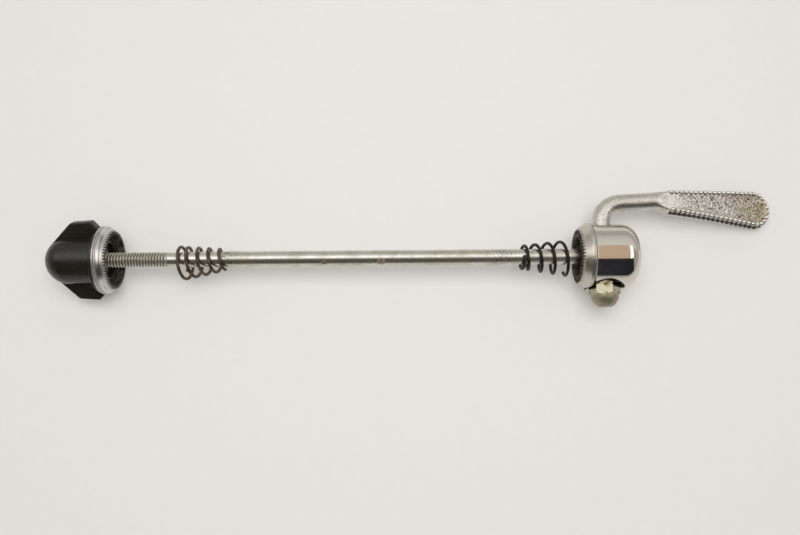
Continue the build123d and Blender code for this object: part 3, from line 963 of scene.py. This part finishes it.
def section_angles():
    """Angle on the stem's circle of each section point, corner by corner from the lower left."""
    angles = []
    for quarter, count in enumerate(flats):
        corner = radians(225) + quarter * pi / 2
        arc = radians(8)
        angles += [corner - arc + 2 * arc * step / corner_steps for step in range(corner_steps + 1)]
        span = pi / 2 - 2 * arc
        angles += [corner + arc + span * (step + 1) / (count + 1) for step in range(count)]
    return angles


def trapezium(under_half, top_half, under, top):
    """A section of the paddle with rounded corners, in the same order as the angles."""
    corners = [
        (-under_half, under, corner_r),
        (under_half, under, corner_r),
        (top_half, top, corner_r),
        (-top_half, top, corner_r),
    ]
    arcs = rounded(corners, steps=corner_steps, closed=True)
    points = []
    for quarter, count in enumerate(flats):
        arc = arcs[quarter * (corner_steps + 1):(quarter + 1) * (corner_steps + 1)]
        ahead = arcs[(quarter + 1) * (corner_steps + 1) % len(arcs)]
        points += arc
        points += [arc[-1].lerp(ahead, (step + 1) / (count + 1)) for step in range(count)]
    return points


def stipple(x, u):
    """The stipple's height from -1 to 1 at a place along the paddle and across it."""
    return noise.noise(Vector((x, u, 0)) / stipple_size)


def sunk(point, middle, from_edge, along):
    """A point of the paddle's top, lowered and stippled where it lies inside the rim."""
    share = eased(min((from_edge - rim_width) / recess_slope, along / soft_start))
    drop = share * (recess_depth - stipple(point.x, point.y - middle) * stipple_height)
    return point - Vector((0, 0, drop))


def paddle_ring(run, turn):
    """A section at a run along the paddle, fanned by a turn where that isn't 0."""
    least_half = 0.5
    middle_run = run + (tip_half - 1) * sin(turn)
    under, top = under_z(middle_run), top_z(middle_run)
    halves = [max(half_width(run, level) * cos(turn), least_half) for level in (under, top)]
    points = []
    for u, v in trapezium(*halves, under, top):
        reach = half_width(run, v) * sin(turn)
        points.append(Vector((flare_x + run + reach, middle_y(run) + u, v)))
    return points


ring_angles = section_angles()
print("points in a section:", len(ring_angles))


# %% Skin of the stem and paddle
def stem_rings():
    """Round sections from the pin, up the stem and round its bend to the arm."""
    turn = pi / 2 - arm_rise
    reach = bend_r * tan(turn / 2)
    stations = [(Vector((cam_x, pin_y, 0)), pi / 2), (Vector((cam_x, journal_y, 0)), pi / 2)]
    bend_steps, arm_steps = 24, 8
    centre = Vector((cam_x + bend_r, arm_corner_y - reach, 0))
    for step in range(bend_steps + 1):
        heading = pi / 2 - turn * step / bend_steps
        out = Vector((-sin(heading), cos(heading), 0))
        stations.append((centre + out * bend_r, heading))
    arm_start = stations[-1][0]
    arm_end = Vector((flare_x, flare_y, 0))
    for step in range(1, arm_steps):
        stations.append((arm_start.lerp(arm_end, step / arm_steps), arm_rise))
    rings = []
    up = Vector((0, 0, 1))
    for at, heading in stations:
        side = Vector((-sin(heading), cos(heading), 0))
        rings.append([at + (side * cos(angle) + up * sin(angle)) * stem_r for angle in ring_angles])
    return rings


def paddle_rings():
    """Sections from the stem's circle, through the flare and the paddle, round to the tip."""
    spacing, fan_steps, fan_turn = 0.24, 40, radians(88)
    steps = round(tip_run / spacing)
    stations = [(tip_run * step / steps, 0) for step in range(steps + 1)]
    stations += [(tip_run, fan_turn * (step + 1) / fan_steps) for step in range(fan_steps)]
    rings = []
    for run, turn in stations:
        at = Vector((flare_x + run, flare_y + run * tan(arm_rise), 0))
        stem_ring = [at + Vector((0, stem_r * cos(a), stem_r * sin(a))) for a in ring_angles]
        flat = paddle_ring(max(run, 0.01), turn)
        middle = middle_y(run)
        reach = half_width(run, top_z(paddle_run if turn else run))
        for index in range(first_top, last_top):
            from_edge = reach - hypot(flat[index].y - middle, reach * sin(turn))
            flat[index] = sunk(flat[index], middle, from_edge, run - flare_length * 0.8)
        blend = eased(run / flare_length)
        rings.append([a.lerp(b, blend) for a, b in zip(stem_ring, flat)])
    return rings


stem, paddle = stem_rings(), paddle_rings()
print("sections along the lever:", len(stem) + len(paddle))

# %% Beads of the rim
bead_r = 0.75
bead_pitch = 1.68
bead_rise = 0.35
bead_crown = 0.35
bead_sink = 0.28
bead_length = 3.3
bead_shoulder = -0.35
bead_sides = 14
bead_foot = 0.75
bead_dirt_and_shade_height = -1.1
bead_polish = -0.4
bead_dome_steps = 6


def bead_profile():
    """Height, radius and share of grime and painted shade of each ring of a bead: dark at its foot,
    polished on its crown.
    """
    levels = [
        (-bead_length, 0, 1),
        (-bead_length, bead_r * bead_foot, 1),
        (-bead_length * bead_foot, bead_r, 1),
        (bead_dirt_and_shade_height, bead_r, 0.8),
        (bead_shoulder, bead_r, 0.1),
    ]
    for step in range(1, bead_dome_steps):
        rise = radians(90) * step / bead_dome_steps
        height = bead_shoulder + (bead_crown - bead_shoulder) * sin(rise)
        levels.append((height, bead_r * cos(rise), bead_polish))
    return levels + [(bead_crown, 0, bead_polish)]


bead_levels = bead_profile()


def bead_mesh(foot, outward):
    """One bead: a short rib up the wall with a domed head."""
    wall = (Vector((0, 0, 1)) - outward * wall_spread).normalized()
    edge = foot
    for _ in range(4):
        edge = foot + wall * ((top_z(edge.x - flare_x) - foot.z) / wall.z)
    seat = edge - outward * bead_sink + wall * bead_rise
    side = wall.cross(outward).normalized()
    out = side.cross(wall)
    rings = []
    for height, r, _ in bead_levels:
        if r == 0:
            rings.append([seat + wall * height])
            continue
        level = seat + wall * height
        rings.append([level + (out * cos(turn) + side * sin(turn)) * r for turn in circle(bead_sides)])
    return skin(rings)


def bead_row():
    """Every bead, along both walls and round the tip."""
    beads = []
    side_beads = round((tip_run - flare_length) / bead_pitch)
    for side in (-1, 1):
        for number in range(side_beads):
            run = flare_length + (tip_run - flare_length) * (number + 0.5) / side_beads
            foot = Vector((flare_x + run, middle_y(run) + side * half_width(run, outline_z), outline_z))
            beads.append(bead_mesh(foot, Vector((0, side, 0))))
    tip_beads = round(pi * half_width(tip_run, top_z(tip_run)) / bead_pitch)
    for number in range(tip_beads):
        turn = pi * ((number + 0.5) / tip_beads - 0.5)
        reach = Vector((cos(turn), sin(turn), 0))
        foot = Vector((flare_x + tip_run, middle_y(tip_run), outline_z)) + reach * tip_half
        beads.append(bead_mesh(foot, reach))
    return beads


beads = bead_row()
print("beads:", len(beads))


# %% Mesh of the lever
def pin_mesh():
    """The turned pin across the head: stud, far journal, cam and near journal."""
    seat_y = nut_high.y
    cam_far_y = -sqrt(bore_r**2 - (cam_r + cam_throw)**2) + 0.2
    ends = [
        (stud_r, seat_y - stud_length, seat_y, 0),
        (far_journal_r, seat_y, cam_far_y, 0),
        (cam_r, cam_far_y, pin_y, cam_throw),
        (near_journal_r, pin_y, journal_y, 0),
    ]
    lengths = []
    pin_segments = 72
    for radius, first, last, lift in ends:
        outline = [(first, 0, 0), (first, radius, 0.1), (last, radius, 0.1), (last, 0, 0)]
        lengths.append(crosswise(rounded(outline), pin_segments, cam_x, lift))
    return lengths


def lever_grime_and_shade():
    """Share of grime and painted shade at every point of the skin and the beads, in the order of the joined
    mesh.
    """
    wall_points, rim_points = 11, 4
    evenly, by_stipple, least_reach = 0.02, 0.7, 0.2
    shares = [0.0] * sum(len(ring) for ring in stem)
    for ring in paddle:
        beyond = ring[0].x - flare_x - flare_length
        reach = min(1, max(least_reach, beyond / soft_start))
        for index, point in enumerate(ring):
            in_top = first_top <= index < last_top
            in_wall = not in_top and first_top - wall_points <= index < last_top + wall_points
            in_recess = first_top + rim_points <= index < last_top - rim_points
            middle = middle_y(min(point.x - flare_x, tip_run))
            grain = evenly - by_stipple * stipple(point.x, point.y - middle)
            # Wall points take the full share, which is dirt and painted shade on the paddle's walls.
            shares.append(1.0 if in_wall and beyond > 0 else reach * grain if in_recess else 0.0)
    for _ in beads:
        for _, r, share in bead_levels:
            shares += [share] * (bead_sides if r else 1)
    return shares


lever_skin = skin(stem + paddle, capped=True)
lever_mesh = joined([lever_skin] + beads + pin_mesh())
grime_and_shade_layer = lever_mesh.attributes.new(GRIME_AND_SHADE, "FLOAT", "POINT")
for point, share in zip(grime_and_shade_layer.data, lever_grime_and_shade()):
    point.value = share
place("beaded_lever", lever_mesh, lever_plate, "lever", "lever")

# %% [markdown]
# ## Zinc on the domed nut
# The nut that holds the pin is plain steel under yellowish zinc. Its flats are bright and its dome
# is duller, with brown stains in its corners.


# %% Zinc plate, yellowed
nut_hex = 3.7


def zinc_plate():
    material, tree, mm = start_material("zinc_plate_yellowed")
    stain_size_mm, grain_size_mm = 1.4, 0.3
    seat_y, dome_y = nut_high.y, nut_high.y - nut_hex
    y = add(tree, "SeparateXYZ", {0: mm}).outputs[1]
    stains = add(tree, "TexNoise", {"Vector": mm, "Scale": 1 / stain_size_mm, "Detail": 5,
                                    "Roughness": 0.7})
    grain = add(tree, "TexNoise", {"Vector": mm, "Scale": 1 / grain_size_mm, "Detail": 3})
    # The stains grow denser towards the seat, so the hex is darker where it meets the cup.
    at_seat = add(tree, "MapRange", {0: y, 1: seat_y - 2, 2: seat_y - 0.4, 4: 0.14})
    spread = add(tree, "Math", {0: stains, 1: at_seat}, operation="ADD")
    stained = add(tree, "MapRange", {0: spread, 1: 0.54, 2: 0.66})
    rough = add(tree, "MapRange", {0: grain, 1: 0.3, 2: 0.7, 3: 0.14, 4: 0.28})
    domed = add(tree, "MapRange", {0: y, 1: dome_y + 0.1, 2: dome_y - 0.2, 4: 0.34})
    return finish_material(material, {
        "Base Color": add(tree, "Mix", {0: stained, 6: "#ACA58D", 7: "#5A4626"}, data_type="RGBA"),
        "Roughness": add(tree, "Math", {0: rough, 1: domed}, operation="ADD"),
        "Metallic": 1,
        "Normal": add(tree, "Bump", {"Height": grain, "Strength": 0.2, "Distance": 0.04 * MM}),
    })


zinc = zinc_plate()

# %% [markdown]
# ## The domed nut
# A domed nut is a hexagon with its corners turned off and a dome on top. So the mesh is a hexagonal
# bar that meets a turned shape, and what both have in common is the nut.

# %% Mesh of the domed nut
nut_flats = 8.6
nut_bevel, nut_tip = 0.5, 4.0
nut_turn = radians(15)


def nut_mesh():
    corner = nut_flats / sqrt(3)
    angles = [nut_turn + number * pi / 3 for number in range(6)]
    hexagon = [(corner * cos(angle), corner * sin(angle), 0.15) for angle in angles]
    ring = rounded(hexagon, steps=3, closed=True)
    ends = (nut_low.y - 1, nut_high.y + 0.1)
    bar = skin([[Vector((cam_x + u, y, v)) for u, v in ring] for y in ends], capped=True)
    seat = nut_high.y
    outline = [(seat, 0), (seat, corner), (seat - nut_hex + nut_bevel, corner)]
    width, height = (nut_flats - nut_tip) / 2, seat - nut_hex - nut_low.y
    dome_r = (width**2 + height**2) / (2 * width)
    dome_steps, dome_segments = 16, 120
    for step in range(dome_steps + 1):
        rise = asin(height / dome_r) * step / dome_steps
        outline.append((seat - nut_hex - dome_r * sin(rise), nut_flats / 2 - dome_r * (1 - cos(rise))))
    outline.append((nut_low.y, 0))
    return combine(bar, crosswise(outline, dome_segments, cam_x), "INTERSECT")


place("domed_nut", nut_mesh(), zinc, "lever", "acorn_nut")

# %% [markdown]
# ## The insert
# Deep in the nut sits a threaded steel bush. Only glints of it show past the rod, so its solid
# stays as it is and takes a dull turned finish.


# %% Steel, turned and dull
def turned_steel():
    material, tree, mm = start_material("turned_steel_dull")
    mark_size_mm = 0.3
    rings = add(tree, "Mapping", {"Vector": mm, "Scale": (1, 0.05, 0.05)})
    marks = add(tree, "TexNoise", {"Vector": rings, "Scale": 1 / mark_size_mm, "Detail": 3})
    return finish_material(material, {
        "Base Color": add(tree, "Mix", {0: marks, 6: "#8F8A80", 7: "#6A655B"}, data_type="RGBA"),
        "Roughness": add(tree, "MapRange", {0: marks, 1: 0.3, 2: 0.7, 3: 0.35, 4: 0.55}),
        "Metallic": 1,
    })


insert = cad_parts["nut_insert"]
insert.data.materials.clear()
insert.data.materials.append(turned_steel())
print("insert takes", insert.data.materials[0].name)

# %% [markdown]
# ## Sheet, room and light
# The skewer lies on a pale level sheet, on its ring, its flange and the paddle's tip. Chrome needs
# something to show: a pale ceiling that greys towards the far side, a warm patch and a window panel
# over the cup, and a dark near side where the viewer stands. These cards are part of the stage, seen
# only in reflections. A lamp straight above gives the narrow shadow under the rod, and the sheet has
# a faint glow that keeps the shadows pale.

# %% Sheet under the skewer
sheet_z = cad_low.z / MM


def paper():
    material, tree, mm = start_material("matt_paper")
    fibre_size_mm = 2
    fibre = add(tree, "TexNoise", {"Vector": mm, "Scale": 1 / fibre_size_mm, "Detail": 4})
    return finish_material(material, {
        "Base Color": add(tree, "Mix", {0: fibre, 6: "#CBC9C6", 7: "#CFCDCA"}, data_type="RGBA"),
        "Roughness": 0.9,
        "Specular IOR Level": 0.2,
        "Emission Color": "#EDEAE5",
        "Emission Strength": 0.19,
    })


def card(name, corners, material):
    """A flat four-sided card of the stage."""
    mesh = bpy.data.meshes.new(name)
    mesh.from_pydata([tuple(corner * MM) for corner in corners], [], [(0, 1, 2, 3)])
    mesh.materials.append(material)
    thing = bpy.data.objects.new(name, mesh)
    bpy.context.scene.collection.objects.link(thing)
    return thing


sheet_half = 2500
signs = ((-1, -1), (1, -1), (1, 1), (-1, 1))
sheet_corners = [Vector((sheet_half * u, sheet_half * v, sheet_z)) for u, v in signs]
card("sheet", sheet_corners, paper())
print("sheet lies at", round(sheet_z, 2), "mm")


# %% Cards that the metal reflects
def glow(name, code, strength, fade=None):
    """A glowing card finish, which may fade (first y, last y, last strength)."""
    material, tree, mm = start_material(name)
    if fade:
        first_y, last_y, last_strength = fade
        y = add(tree, "SeparateXYZ", {0: mm}).outputs[1]
        strength = add(tree, "MapRange", {0: y, 1: first_y, 2: last_y, 3: strength, 4: last_strength})
    return finish_material(material, {
        "Base Color": "#000000",
        "Specular IOR Level": 0,
        "Emission Color": code,
        "Emission Strength": strength,
    })


ceiling_z = 600
cards = (
    ("pale_ceiling", -1200, 125, (-60, ceiling_z), (330, ceiling_z), glow("pale_glow", "#FFFFFF", 1.7)),
    ("warm_ceiling", 125, 350, (-200, ceiling_z), (330, ceiling_z), glow("warm_glow", "#B9A58E", 1.4)),
    ("window_panel", 350, 680, (-200, ceiling_z), (330, ceiling_z), glow("window_glow", "#FFFFFF", 2.2)),
    ("far_ceiling", -2500, 2500, (330, ceiling_z), (3400, ceiling_z),
     glow("far_glow", "#F4F2EE", 0.9, (330, 1900, 0.55))),
    ("warm_edge", 680, 1400, (-450, ceiling_z), (330, ceiling_z), glow("edge_glow", "#B9A58E", 1.0)),
    ("dark_side", 125, 700, (-200, ceiling_z), (-560, 60), glow("dark_glow", "#2A2B33", 1.0)),
    ("dim_side", -2000, 125, (-210, ceiling_z), (-900, 80), glow("dim_glow", "#5E5A52", 1.0)),
    ("far_wall", -2500, 2500, (3400, ceiling_z), (3400, sheet_z), glow("wall_glow", "#F4F2EE", 0.56)),
)
for name, first_x, last_x, edge, far_edge, material in cards:
    corners = [(first_x, *edge), (last_x, *edge), (last_x, *far_edge), (first_x, *far_edge)]
    thing = card(name, [Vector(corner) for corner in corners], material)
    for kind in ("camera", "diffuse", "shadow", "transmission"):
        setattr(thing, "visible_" + kind, False)
print(len(cards), "cards, each between two X and two edges (y, z), seen in reflections alone")

# %% Lamps and world
scene = bpy.context.scene
scene.view_settings.view_transform = "Standard"
world = bpy.data.worlds.new("room")
scene.world = world
world.use_nodes = True
sky = world.node_tree.nodes["Background"]
fill(world.node_tree, sky, {"Color": "#E9E7E4", "Strength": 0.55})
top_light = bpy.data.lights.new("top_window", "AREA")
top_light.shape = "RECTANGLE"
top_light.size = 0.42
top_light.size_y = 0.33
top_light.energy = 1.9
top_lamp = bpy.data.objects.new("top_window", top_light)
top_lamp.location = (-0.055, 0.05, 0.5)
top_lamp.visible_glossy = False
scene.collection.objects.link(top_lamp)
print("world and one soft lamp")

# %% [markdown]
# ## Camera
# The photograph looks down from the near side, ten degrees off the vertical, from about a quarter
# of a metre. So close, the far ends spread outwards, and the lens and distance have to be right
# together. A small roll lifts the lever's end, as in the photograph.

# %% Camera at the photograph's angle
image_width = 800
focal_px = 740
camera_at = Vector((-56.6, -44.1, 232.4))
look_down = radians(80)
roll = radians(0.44)
lens = bpy.data.cameras.new("camera")
lens.sensor_width = 36
lens.lens = lens.sensor_width * focal_px / image_width
lens.clip_start = 0.01
camera = bpy.data.objects.new("camera", lens)
level = Matrix.Rotation(pi / 2 - look_down, 4, "X")
camera.matrix_world = Matrix.Translation(camera_at * MM) @ level @ Matrix.Rotation(-roll, 4, "Z")
scene.collection.objects.link(camera)
scene.camera = camera
print("lens", round(lens.lens, 1), "mm")
